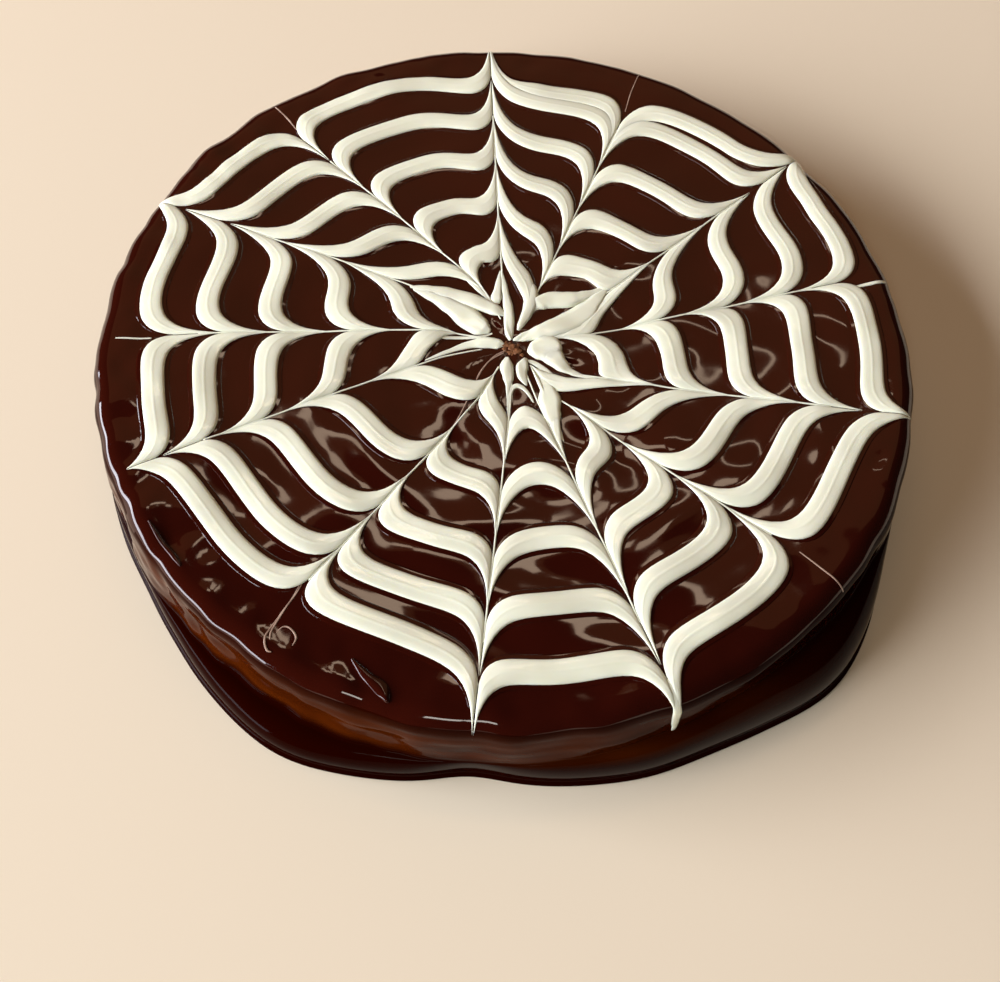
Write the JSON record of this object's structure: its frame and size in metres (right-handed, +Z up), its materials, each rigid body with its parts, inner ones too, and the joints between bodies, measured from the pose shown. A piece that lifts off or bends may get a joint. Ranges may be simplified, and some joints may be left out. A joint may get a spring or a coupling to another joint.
{
  "type": "brownie cake",
  "caption": "Low round brownie cake under glossy dark chocolate glaze that pools at its foot, with a feathered spider-web pattern of white icing on top.",
  "frame": {"origin": "middle of the flat underside, below the middle of the round top", "axes": "+Z up out of the iced top; -Y towards the side that faces the viewer, +X to the viewer's right"},
  "size_m": [0.2475, 0.2521, 0.0311],
  "materials": {
    "chocolate_glaze": "glossy dark brown chocolate glaze",
    "white_icing": "soft-sheen ivory white icing"
  },
  "bodies": {
    "root": {"cake": "chocolate_glaze"}
  },
  "joints": []
}
